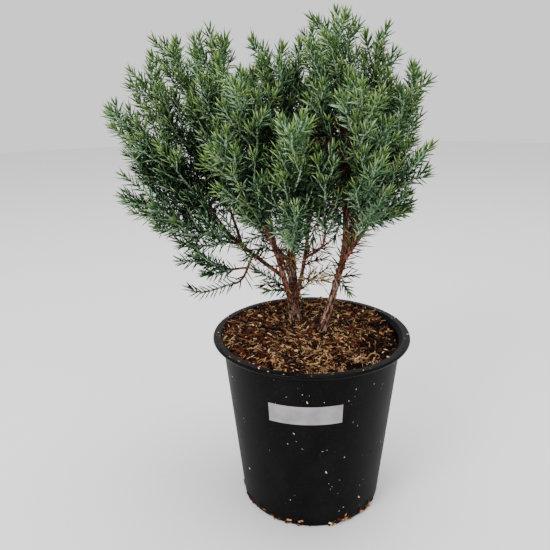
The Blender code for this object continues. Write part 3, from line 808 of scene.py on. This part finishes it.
for stem_name in STEMS:
    runs = []
    for limb in limbs.values():
        if limb["stem"] == stem_name:
            path, radii = list(limb["path"]), list(limb["radii"])
            if limb is limbs[stem_name]:
                path.insert(0, path[0] - Vector((0, 0, STEM_SUNK)))
                radii.insert(0, radii[0] * SUNK_SWELL)
            swell = [radius * (1 + SWELL * noise.noise(point / SWELL_LENGTH))
                     for point, radius in zip(path, radii)]
            runs.append((path, swell))
    wood = new_piece("wood", tubes("wood", runs, 3))
    remesh = wood.modifiers.new("one skin", "REMESH")
    remesh.mode = "VOXEL"
    remesh.voxel_size = BARK_VOXEL
    mesh = evaluated(wood)
    bpy.data.objects.remove(wood, do_unlink=True)
    points = [vert.co.copy() for vert in mesh.vertices]
    outward = [item.vector.copy() for item in mesh.vertex_normals]
    grains_of, ages = [], []
    for point, out in zip(points, outward):
        way, radius = line_facts[line_points.find(point)[1]]
        spot = grain_at(point, way)
        old_share = (radius - OLD_RADIUS[0]) / (OLD_RADIUS[1] - OLD_RADIUS[0])
        old_share = min(1, max(0, old_share + AGE_SPREAD * noise.noise(point / AGE_PATCH)))
        ridge = noise.noise(spot) - 0.6 * abs(noise.noise(spot * 0.5 + Vector((9, 2, 5))))
        point += out * radius * FISSURE_DEPTH * (0.5 + old_share) * ridge
        grains_of.append(spot)
        ages.append(old_share)
    mesh.vertices.foreach_set("co", np.array(points).ravel())
    attribute = mesh.attributes.new("grain", "FLOAT_VECTOR", "POINT")
    attribute.data.foreach_set("vector", np.array(grains_of).ravel())
    attribute = mesh.attributes.new("age", "FLOAT", "POINT")
    attribute.data.foreach_set("value", np.array(ages))
    mesh.shade_smooth()
    piece = new_piece("bark_" + stem_name, mesh, bark)
    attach(piece, "root")
    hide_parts(*[name for name, limb in limbs.items() if limb["stem"] == stem_name])

# Loose bark. Old bark peels in thin, dry, papery slivers that hang on at one end, grey-tan
# outside and orange-brown where they are fresh. Two long ones curl away from the stems.
FLAKES = 150
FLAKE_LENGTHS = (1.6, 5.5)
FLAKE_SHAPE = (math.radians(50), 3, 0.2, 0.03, 0.0)
FLAKE_COLOURS = ("#8C7565", "#5E4436", "#8A5233", "#2A1812")
FLAKE_COLOUR_SHARES = (0.3, 0.35, 0.15, 0.2)
FLAKE_SHARES = {"stem_left": 0.4, "stem_right": 0.6, "bough_mid_left": 0.5, "bough_centre": 0.4}
# The two long curls, in millimetres: where each starts and ends, how wide and how far it stands.
CURLS = (((-23, 19, 178), (-16, 23, 166), 1.2, 0.8), ((18, 4, 185), (17, 4, 173), 1.1, 3.0))
flake_materials = [new_material("papery bark " + code[1:], code, 0.8, Specular_IOR_Level=0.2)[0]
                   for code in FLAKE_COLOURS]
draw = random.Random(31)
flake_places, flake_picks = [], []
for number in range(FLAKES):
    name = draw.choice(list(FLAKE_SHARES))
    limb = limbs[name]
    share = draw.uniform(0.02, FLAKE_SHARES[name])
    point, way = point_along(limb["path"], share)
    radius = limb["radii"][round(share * (len(limb["radii"]) - 1))]
    out = Quaternion(way, draw.uniform(0, math.tau)) @ way.orthogonal().normalized()
    way = (way + 0.25 * draw.uniform(-1, 1) * way.cross(out)).normalized()
    out = (out + draw.uniform(-0.1, 0.4) * way).normalized()
    side = out.cross(way).normalized()
    length = draw.uniform(*FLAKE_LENGTHS) * MM
    turn = Matrix((way, side, way.cross(side))).transposed()
    grow = Matrix.Diagonal((length, length * draw.uniform(0.8, 1.3), length))
    place = (turn @ grow).to_4x4()
    place.translation = point + out * (radius + 0.25 * MM)
    flake_places.append(place[:3])
    flake_picks.append(draw.choices(range(4), FLAKE_COLOUR_SHARES)[0])
flakes = new_piece("bark_flakes", joined("bark_flakes", bent_strip(*FLAKE_SHAPE),
                                         flake_places, flake_picks), *flake_materials)
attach(flakes, "root")


def curl(start, end, width, stand):
    """A strip of bark that arches out towards the front between its two ends."""
    bm = bmesh.new()
    bmesh.ops.create_grid(bm, x_segments=14, y_segments=1, size=0.5)
    line = end - start
    side = line.cross(Vector((0, 1, 0))).normalized()
    for vert in bm.verts:
        share, across = vert.co.x + 0.5, vert.co.y
        bow = math.sin(math.pi * share) * stand
        vert.co = start + line * share + side * (across * width + bow) + Vector((0, -bow / 2, 0))
    bmesh.ops.solidify(bm, geom=bm.faces, thickness=0.18 * MM)
    bmesh.ops.recalc_face_normals(bm, faces=bm.faces)
    return bm


for number, (start, end, width, stand) in enumerate(CURLS):
    bm = curl(Vector(start) * MM, Vector(end) * MM, width * MM, stand * MM)
    name = f"bark_curl_{number + 1}"
    piece = new_piece(name, mesh_of(name, bm), flake_materials[2 if number == 0 else 0])
    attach(piece, "root")

# The foliage. Every limb ends in a plume: a leading shoot, side shoots that leave it by the
# golden angle, and shorter twigs on those. The shoots lean out and then turn up, and keep
# nearly to the room that is nearest their own leader. Needles stand round them all in threes.
GOLDEN_ANGLE = math.radians(137.508)
LEADER_RADIUS = 1.5 * MM
SHOOT_RADIUS = 1.05 * MM
SHOOT_TIP_RADIUS = 0.5 * MM
FULL_SHOOT = 30 * MM
TIP_BRUSH = 8.4 * MM
LIFT = 0.5
SHOOT_LEAN = math.radians(34)
SHOOT_LENGTHS = (2.2, 0.8)
SHOOT_SPACING = 5.2 * MM
SHOOT_SHORTEST = 12 * MM
# The tallest plumes and the ones at the right are more open, with sky between their shoots.
TOP_HEIGHT = 325 * MM
RIGHT_EDGE = 66 * MM
TOP_SPACING = 7.4 * MM
LOW_SHOOT_LENGTHS = (0.9, 1.7)
LOW_SHOOT_SPACING = 5 * MM
BARE_SHARE = 0.45
BARE_BELOW = 222 * MM
# The low sprays and the front plume: how much of each limb is bare, how far apart its side shoots
# stand, and how far apart the rings of needles.
LOW_SPRAYS = {
    "bough_sprig": (0.38, 26 * MM, 1.9 * MM),
    "bough_hanging": (0.5, 9 * MM, 2.5 * MM),
    "bough_low_left": (0.4, 6 * MM, 3.1 * MM),
    "bough_front": (0.7, 4.8 * MM, 3 * MM),
}
# The lowest spray is one plain shoot that sags and turns up again at its tip.
HANGING_TIPS = ("bough_sprig",)
TIP_RISE = 1.1
TWIG_LEAN = math.radians(34)
TWIG_SHARE = 0.55
TWIG_SPACING = 10 * MM
TWIG_SHORTEST = 9 * MM
TWIG_RADII = (0.6 * MM, 0.4 * MM)
TWIGGED_LENGTH = 18 * MM
PLUME_REACH = 1.5
OVERLAP = 3.5 * MM
WHORL_SPACING = 2.7 * MM
LEADER_WHORL_SPACING = 3.1 * MM
NEEDLE_REACH = 12 * MM
NEIGHBOUR_DISTANCE = 100 * MM
ANGLE_SPREAD = (0.88, 1.12)
LENGTH_SPREAD = (0.82, 1.1)
SHORTENING = 0.8
SHOOT_STEP = 4 * MM
SHOOT_ENDS = (3 * MM, 6 * MM)
TWIG_ENDS = (4 * MM, 5 * MM)
LEADER_POINTS = 22


def distance_to(point, start, end):
    line = end - start
    share = min(1, max(0, (point - start).dot(line) / line.length_squared))
    return (point - start - line * share).length


def nearness(point, limb):
    return distance_to(point, limb["path"][-1], limb["reach"]) / limb["half_width"]


def has_room(point, limb):
    """Whether a shoot of the limb's plume may pass the point."""
    mine = nearness(point, limb)
    if mine > PLUME_REACH + NEEDLE_REACH / 2 / limb["half_width"] or point.z > limb["top"]:
        return False
    for other in limb["near"]:
        near = min(limb["half_width"], other["half_width"])
        if mine - OVERLAP / near > nearness(point, other):
            return False
    return True


for limb in limbs.values():
    limb["top"] = max(limb["path"][-1].z, limb["reach"].z) + TIP_BRUSH / 4
    limb["near"] = [other for other in limbs.values() if other is not limb
                    and (limb["reach"] - other["reach"]).length < NEIGHBOUR_DISTANCE]


def side_shoots(limb, path, ends, spacing, lengths, lean_by, shortest, draw):
    """Shoots that leave a path by the golden angle, each shortened until it has room."""
    found = []
    length = length_of(path)
    around = draw.uniform(0, math.tau)
    along = ends[0]
    while along < length - ends[1]:
        around += GOLDEN_ANGLE
        share = along / length
        root, run = point_along(path, share)
        out = Quaternion(run, around) @ run.orthogonal().normalized()
        lean = lean_by * draw.uniform(*ANGLE_SPREAD)
        go = (math.cos(lean) * run + math.sin(lean) * out).normalized()
        turned_up = (go + LIFT * (Vector((0, 0, 1)) + run)).normalized()
        full = (lengths[0] + (lengths[1] - lengths[0]) * share) * draw.uniform(*LENGTH_SPREAD)
        while full >= shortest:
            tip = root + (go + turned_up).normalized() * full
            steps = max(4, round(full / SHOOT_STEP) + 1)
            shoot = curve_through(root, go, tip, turned_up, steps)
            if has_room(tip, limb) and has_room(shoot[len(shoot) // 2], limb):
                found.append((shoot, full))
                break
            full *= SHORTENING
        along += spacing * draw.uniform(*ANGLE_SPREAD)
    return found


shoots = []
for seed, (name, limb) in enumerate(limbs.items()):
    draw = random.Random(seed)
    way = (limb["path"][-1] - limb["path"][-2]).normalized()
    reach, foot = limb["reach"], limb["path"][-1]
    line = reach - foot
    end = reach - line.normalized() * TIP_BRUSH
    arrive = line.normalized()
    if name in HANGING_TIPS:
        arrive = (arrive + Vector((0, 0, TIP_RISE))).normalized()
    leader = curve_through(foot, way, end, arrive, LEADER_POINTS)
    base = min(limb["radii"][-1], LEADER_RADIUS)
    half = limb["half_width"]
    edge = reach.z > TOP_HEIGHT or reach.x > RIGHT_EDGE
    wide = TOP_SPACING if edge else SHOOT_SPACING
    bare, spacing, ring = LOW_SPRAYS.get(name, (BARE_SHARE, wide, WHORL_SPACING))
    shoots.append({"path": leader, "radii": (base, SHOOT_TIP_RADIUS), "order": 1, "limb": name,
                   "length": (end - foot).length, "ring": max(ring, LEADER_WHORL_SPACING)})
    grown = side_shoots(limb, leader, SHOOT_ENDS, spacing,
                        [half * share for share in SHOOT_LENGTHS], SHOOT_LEAN,
                        SHOOT_SHORTEST, draw)
    upper = [point for point in limb["path"][int(bare * len(limb["path"])):]
             if point.z > BARE_BELOW or name in LOW_SPRAYS]
    grown += side_shoots(limb, upper, (0, 0), LOW_SHOOT_SPACING,
                         [half * share for share in LOW_SHOOT_LENGTHS], SHOOT_LEAN,
                         SHOOT_SHORTEST, draw)
    if name in HANGING_TIPS:
        grown = []
    for path, full in grown:
        thick = SHOOT_TIP_RADIUS + (SHOOT_RADIUS - SHOOT_TIP_RADIUS) * min(1, full / FULL_SHOOT)
        shoots.append({"path": path, "radii": (thick, SHOOT_TIP_RADIUS), "order": 2,
                       "limb": name, "length": full, "ring": ring})
        if full > TWIGGED_LENGTH:
            twigs = side_shoots(limb, path, TWIG_ENDS, TWIG_SPACING,
                                (full * TWIG_SHARE, TWIG_SHORTEST), TWIG_LEAN,
                                TWIG_SHORTEST, draw)
            shoots += [{"path": twig, "radii": TWIG_RADII, "order": 3, "limb": name,
                        "length": size, "ring": ring} for twig, size in twigs]

# Stray shoots. Low on the stems small shoots stay on under the crown. Some are still green, some
# have dried to yellow, and others are dead. A few living ones stand out from the crown's left
# edge and hang in its gaps.
# Each, in millimetres: where it leaves the bark, the places it passes, and what its needles are.
# The dark green ones under the crown have painted shade in their colour.
STRAYS = (
    (((-106, -17, 248), (-119, -20, 258), (-132, -24, 270)), "bloom"),
    (((-29, 2, 222), (-41, -6, 221), (-51, -10, 216)), "deep"),
    (((-30, 0, 214), (-40, -5, 211), (-48, -8, 205)), "deep"),
    (((-24, 25, 172), (-33, 20, 179), (-45, 15, 188)), "bloom"),
    (((-22, 26, 171), (-30, 22, 175), (-40, 18, 174)), "dead"),
    (((-20, 28, 166), (-28, 24, 168), (-37, 20, 168)), "deep"),
    (((-8, 28, 167), (1, 22, 178), (13, 12, 191)), "yellow"),
    (((1, 22, 178), (5, 18, 178), (11, 14, 179)), "yellow"),
    (((-2, 24, 175), (-2, 18, 181), (2, 12, 188)), "yellow"),
    (((-15, 22, 188), (-16, 14, 197), (-19, 8, 206)), "yellow"),
    (((23, 8, 184), (28, 5, 187), (33, 2, 188)), "dead"),
    (((22, 8, 181), (26, 5, 179), (30, 1, 174)), "deep"),
    (((22, 8, 184), (18, 4, 187), (12, 2, 187)), "yellow"),
    (((24, 6, 196), (28, 3, 206), (30, 1, 217)), "olive"),
    (((-44, 10, 197), (-38, 4, 206), (-36, 2, 216)), "dead"),
    (((-50, 8, 203), (-55, 3, 212), (-57, 0, 220)), "dead"),
    (((-6, 20, 190), (2, 14, 196), (10, 10, 199)), "dead"),
    (((-4, 18, 200), (4, 12, 206), (11, 9, 207)), "dead"),
    (((-109, 14, 328), (-111, 12, 340), (-114, 10, 350)), "green"),
    (((-83, -12, 214), (-92, -16, 217), (-99, -20, 223)), "shaded"),
    (((-85, -8, 221), (-92, -14, 223), (-99, -18, 228)), "bloom"),
    (((-35, 0, 231), (-44, -6, 229), (-50, -10, 233)), "shaded"),
    (((-58, 0, 223), (-63, -6, 233), (-66, -10, 242)), "shaded"),
    (((5, 0, 232), (2, -6, 226), (1, -10, 219)), "deep"),
    (((22, 2, 237), (20, -4, 228), (17, -8, 220)), "shaded"),
)
DRIED = ("dead", "yellow", "olive")
DRIED_SPACING = 4 * MM
STRAY_RADII = (0.6 * MM, 0.35 * MM)
for places_passed, kind in STRAYS:
    path = rounded_path([Vector(place) * MM for place in places_passed], 4)
    shoots.append({"path": path, "radii": STRAY_RADII, "order": 3, "kind": kind,
                   "limb": None, "ring": DRIED_SPACING if kind in DRIED else WHORL_SPACING,
                   "length": length_of(path)})

# Twigs. The youngest 45 mm of a shoot is soft and pale grey-green, and what lies below that has
# turned to thin red-brown bark.
GREEN_LENGTH = 45 * MM
green_runs, brown_runs = [], []
for shoot in shoots:
    path = shoot["path"]
    count = len(path)
    thick, thin = shoot["radii"]
    radii = [thick + (thin - thick) * i / (count - 1) for i in range(count)]
    step = shoot["length"] / (count - 1)
    green = 0 if shoot.get("kind") in ("dead", "yellow") else GREEN_LENGTH
    split = max(0, count - 1 - round(green / step))
    if split:
        brown_runs.append((path[:split + 1], radii[:split + 1]))
    if split < count - 1:
        green_runs.append((path[split:], radii[split:]))
green_twig = new_material("young shoot", "#90AD89", 0.6, Specular_IOR_Level=0.2)[0]
brown_twig = new_material("thin red-brown bark", "#4A2114", 0.6, Specular_IOR_Level=0.25)[0]
for name, runs, material in (("twigs_green", green_runs, green_twig),
                             ("twigs_brown", brown_runs, brown_twig)):
    mesh = tubes(name, runs, 0)
    mesh.shade_smooth()
    piece = new_piece(name, mesh, material)
    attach(piece, "root")

# Needles. Awl-shaped juvenile leaves some 9 mm long and under 1 mm wide. The side that faces the
# shoot has a pale bloom, the other is green, and the last ones of a shoot are yellow-green and
# stand close round its tip. On old wood a few stay on, dark or dead.
NEEDLE_LENGTH = 9.6 * MM
NEEDLE_WIDTH = 1.25 * MM
NEEDLE_THICKNESS = 0.95 * MM
NEEDLE_LEAN = (math.radians(56), math.radians(34))
TIP_LEAN = math.radians(17)
TIP_ZONE = 6 * MM
# Shoots low in the crown are dealt the darker 'shaded' colours: every shoot below the lower height
# and none above the upper. This is painted shade of the crown above.
SHADED_HEIGHTS = (205 * MM, 285 * MM)
OLD_WHORL_SPACING = 4.2 * MM
OLD_LEAN = (math.radians(75), math.radians(50))
OLD_KEPT = 0.5
OLD_LENGTH = 1.35
STEM_FOOT_BARE = 22 * MM
BOUGH_FOOT_BARE = 6 * MM
DEAD_BELOW = 215 * MM
MOST_NEEDLES = 19000
# A needle's shape, in shares of its length and width: where it is widest, how much wider that is
# than a plain cone, how narrow its base, and how far its tip bends.
WIDEST_AT = 0.58
WIDENED = 2.2
BASE_NARROWED = 0.74
TIP_BEND = 0.03
# How unevenly needles stand, and how they change near a tip: shorter and closer together.
TURN_JITTER = 0.12
LEAN_SPREAD = (0.92, 1.08)
SIZE_SPREAD = (0.78, 1.14)
TIP_SHORTER = 0.2
TIP_CLOSER = 0.4
ROOTED_AT = 0.6
# How the shade inside the crown is found: needles are counted in cells, and those in the most
# crowded of them, with their neighbours, are dealt a dark colour: painted shade, and in part the
# darker colour of older inner needles.
CELL = 9 * MM
CROWDED = (0.32, 0.75)
CROWDED_PAINTED_SHADE = 0.95
# Under the crown half of the living needles are dark: painted shade of the crown above.
LOW_HEIGHT = 222 * MM
LOW_PAINTED_SHADE = 0.5
# In the heart of the crown half of the dark ones have died.
DEAD_HEART = np.array((16, 4)) * MM
DEAD_REACH = 34 * MM
DEAD_HEIGHT = 300 * MM
DEAD_SHARE = 0.5
# How many of the needles near a tip are fresh: in the open, less in the shade, and on a shaded
# shoot.
FRESH_OPEN = 0.85
FRESH_LOST = 0.7
FRESH_SHADED = 0.3
# How many shoots have a bloom: those that end in front of the line, and those behind it.
FRONT_LINE = -10 * MM
BLOOM_FRONT = 0.55
BLOOM_BACK = 0.3
# The kinds that stay on old wood, low down and higher up.
OLD_KINDS_LOW = {"dead": 0.62, "deep": 0.28, "yellow": 0.1}
OLD_KINDS_HIGH = {"dead": 0.2, "deep": 0.5, "green": 0.3}
# Living needles that stand alone are drawn up to two fifths wider than the rest, so that they
# show.
LONE_WIDTH = 0.4
LONE_CROWDING = 0.25
# Each kind of needle: the colour of its outer side, and that of the side that faces the shoot.
# The 'shaded' kind and the darkest kind after it have painted shade in their colours.
NEEDLE_COLOURS = {
    "bloom": ("#406641", "#97B48D"),
    "green": ("#41602E", "#819A60"),
    "shaded": ("#18351C", "#5B7F5B"),
    "deep": ("#0B1C08", "#213A20"),
    "fresh": ("#4A6A30", "#869F5A"),
    "olive": ("#66701F", "#8A9440"),
    "yellow": ("#97803C", "#BCA660"),
    "dead": ("#34140C", "#5C2A18"),
}


def needle_shape():
    """A needle of length 1 along Z: three-sided, widest near its middle, bent to +Y at its tip."""
    bm = bmesh.new()
    bmesh.ops.create_cone(bm, cap_ends=True, segments=3, radius1=0.5, radius2=0, depth=1)
    bmesh.ops.remove_doubles(bm, verts=bm.verts, dist=0.001)
    bmesh.ops.rotate(bm, verts=bm.verts, matrix=Matrix.Rotation(math.pi / 6, 3, "Z"))
    bmesh.ops.translate(bm, verts=bm.verts, vec=(0, 0, 0.5))
    bmesh.ops.bisect_plane(bm, geom=bm.verts[:] + bm.edges[:] + bm.faces[:],
                           plane_co=(0, 0, WIDEST_AT), plane_no=(0, 0, 1))
    for vert in bm.verts:
        if 0.3 < vert.co.z < 0.8:
            vert.co.xy *= WIDENED
        elif vert.co.z < 0.1:
            vert.co.xy *= BASE_NARROWED
        vert.co.y += TIP_BEND * vert.co.z ** 2
    for face in bm.faces:
        face.material_index = 1 if face.normal.y > 0.5 else 0
    return bm


needles = []


def add_whorls(path, length, radii, ends, spacing, leans, kept, kind, draw):
    """Needles in threes along a path: each its place, way, run, length and kind."""
    around = draw.uniform(0, math.tau)
    along = ends[0]
    while along <= length - ends[1]:
        share = along / length
        point, run = point_along(path, share)
        side = run.orthogonal().normalized()
        around += math.radians(60) + draw.uniform(-TURN_JITTER, TURN_JITTER)
        near_tip = max(0, 1 - (length - along) / TIP_ZONE) if leans is NEEDLE_LEAN else 0
        lean_here = leans[0] + (leans[1] - leans[0]) * share ** 1.5
        lean_here += (TIP_LEAN - lean_here) * near_tip
        radius = radii[0] + (radii[1] - radii[0]) * share
        for third in range(3):
            if draw.random() > kept:
                continue
            out = Quaternion(run, around + third * math.tau / 3) @ side
            lean = lean_here * draw.uniform(*LEAN_SPREAD)
            way = math.cos(lean) * run + math.sin(lean) * out
            size = NEEDLE_LENGTH * draw.uniform(*SIZE_SPREAD) * (1 - TIP_SHORTER * near_tip)
            size *= OLD_LENGTH if leans is OLD_LEAN else 1
            needles.append((point + out * radius * ROOTED_AT, way, run, size, near_tip, kind(point)))
        along += spacing * (1 - TIP_CLOSER * near_tip)


draw = random.Random(5)
for shoot in shoots:
    bloom_chance = BLOOM_FRONT if shoot["path"][-1].y < FRONT_LINE else BLOOM_BACK
    own = "bloom" if draw.random() < bloom_chance else "green"
    height = shoot["path"][len(shoot["path"]) // 2].z
    if draw.random() < (SHADED_HEIGHTS[1] - height) / (SHADED_HEIGHTS[1] - SHADED_HEIGHTS[0]):
        own = "shaded"
    own = shoot.get("kind", own)
    first = 0 if shoot["order"] == 1 else 1.2 * MM
    add_whorls(shoot["path"], shoot["length"], shoot["radii"], (first, 0), shoot["ring"],
               NEEDLE_LEAN, 1, lambda point: own, draw)


def old_kind(point):
    chances = OLD_KINDS_LOW if point.z < DEAD_BELOW else OLD_KINDS_HIGH
    return draw.choices(list(chances), list(chances.values()))[0]


for name, limb in limbs.items():
    low = STEM_FOOT_BARE if limb["stem"] == name else BOUGH_FOOT_BARE
    add_whorls(limb["path"], length_of(limb["path"]), (limb["radii"][0], limb["radii"][-1]),
               (low, 0), OLD_WHORL_SPACING, OLD_LEAN, OLD_KEPT, old_kind, draw)

spots = np.array([needle[0] for needle in needles])
ways = np.array([needle[1] for needle in needles])
runs = np.array([needle[2] for needle in needles])
sizes, near_tips = np.array([needle[3:5] for needle in needles]).T
own_kinds = np.array([needle[5] for needle in needles])
uppers = runs - (runs * ways).sum(1)[:, None] * ways
uppers /= np.linalg.norm(uppers, axis=1)[:, None]
dealer = np.random.default_rng(8)
cells = ((spots - spots.min(0)) / CELL).astype(int) + 2
crowd = np.zeros(cells.max(0) + 3)
np.add.at(crowd, tuple(cells.T), 1)
for axis in range(3):
    crowd = sum(np.roll(crowd, shift, axis) for shift in (-2, -1, 0, 1, 2))
crowding = crowd[tuple(cells.T)] / crowd.max()
living = np.isin(own_kinds, ("bloom", "green", "shaded", "deep"))
lone = 1 + LONE_WIDTH * living * np.clip(1 - crowding / LONE_CROWDING, 0, 1)
places = np.empty((len(needles), 3, 4))
places[:, :, 0] = np.cross(uppers, ways) * NEEDLE_WIDTH * lone[:, None]
places[:, :, 1] = uppers * NEEDLE_THICKNESS * lone[:, None]
places[:, :, 2] = ways * sizes[:, None]
places[:, :, 3] = spots
shade = np.clip((crowding - CROWDED[0]) / (CROWDED[1] - CROWDED[0]), 0, 1)
fresh = (near_tips > 0.2) & (dealer.random(len(spots)) < FRESH_OPEN - FRESH_LOST * shade)
fresh &= (own_kinds != "shaded") | (dealer.random(len(spots)) < FRESH_SHADED)
# The most crowded needles, and half of those under the crown, are dealt the darkest colour: painted
# shade.
old_and_painted_shade_chance = np.where(spots[:, 2] < LOW_HEIGHT, LOW_PAINTED_SHADE, CROWDED_PAINTED_SHADE * shade)
deep = dealer.random(len(spots)) < old_and_painted_shade_chance
kinds = np.where(living & fresh, "fresh", np.where(living & deep, "deep", own_kinds))
inner = np.linalg.norm(spots[:, :2] - DEAD_HEART, axis=1) < DEAD_REACH
inner &= (spots[:, 2] < DEAD_HEIGHT) & (dealer.random(len(spots)) < DEAD_SHARE)
kinds = np.where(inner & (kinds == "deep"), "dead", kinds)
for kind, codes in NEEDLE_COLOURS.items():
    materials = [new_material(f"needle, {kind} {part}", code, 0.5, Specular_IOR_Level=0.2)[0]
                 for part, code in zip(("outer", "inner"), codes)]
    chosen = np.flatnonzero(kinds == kind)
    pieces = math.ceil(len(chosen) / MOST_NEEDLES)
    for number, part in enumerate(np.array_split(chosen, pieces)):
        name = f"needles_{kind}_{number + 1}"
        mesh = joined(name, needle_shape(), places[part])
        mesh.shade_smooth()
        piece = new_piece(name, mesh, *materials)
        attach(piece, "root")
        if kind == "green" and number == 0:
            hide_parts(*[limb["plume"] for limb in limbs.values()])
